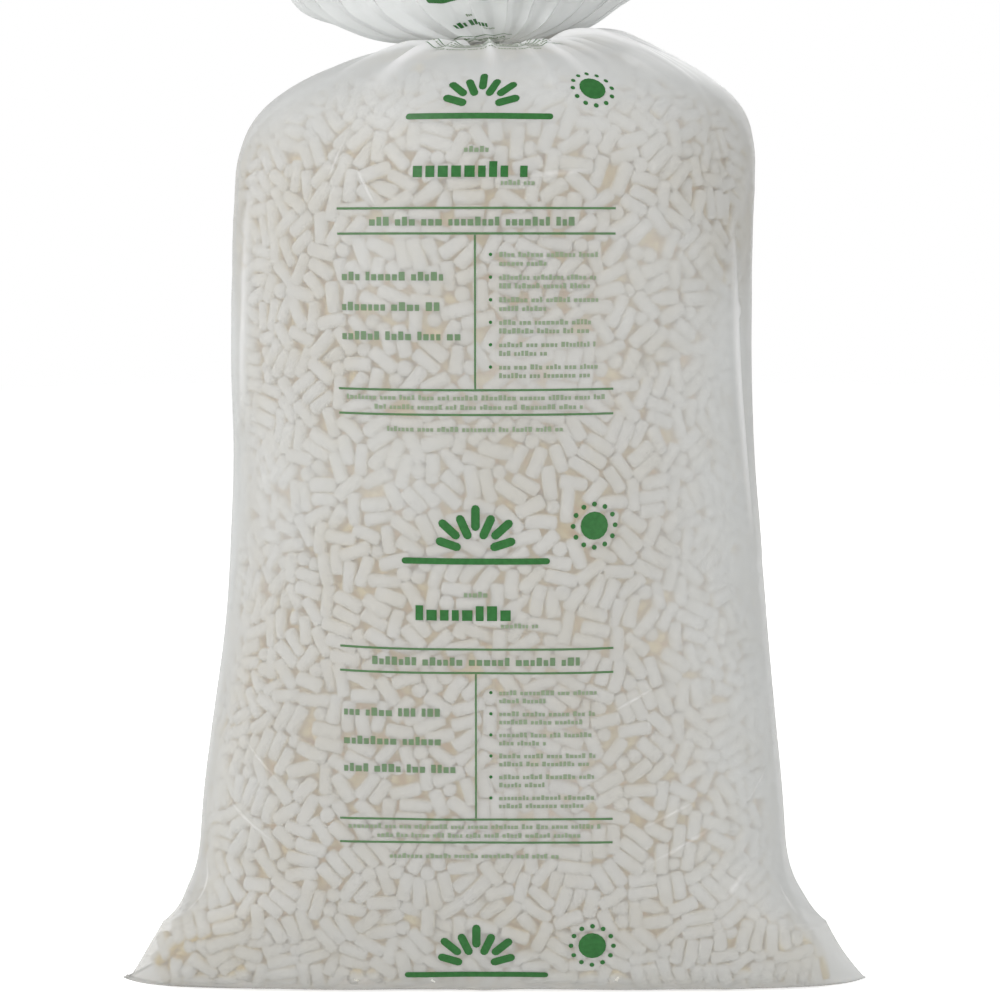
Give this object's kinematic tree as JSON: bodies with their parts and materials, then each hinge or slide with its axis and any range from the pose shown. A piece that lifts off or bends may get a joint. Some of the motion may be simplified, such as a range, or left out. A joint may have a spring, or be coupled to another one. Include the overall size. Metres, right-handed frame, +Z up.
{
  "type": "packing peanut bag",
  "caption": "Tall clear plastic bag of white loose-fill packing peanuts, tied at a gathered neck, with a fan of spare film above.",
  "frame": {"origin": "middle of the footprint at the floor", "axes": "+Z up from base to mouth, +X along the bottom seal from ear to ear, printed front faces -Y"},
  "size_m": [0.9454, 0.632, 1.304],
  "materials": {
    "clear_film": "glossy",
    "starch_foam": "matte",
    "natural_nylon": "satin"
  },
  "bodies": {
    "root": {"film_bag": "clear_film", "loose_fill": "starch_foam", "neck_tie": "natural_nylon"}
  },
  "joints": []
}
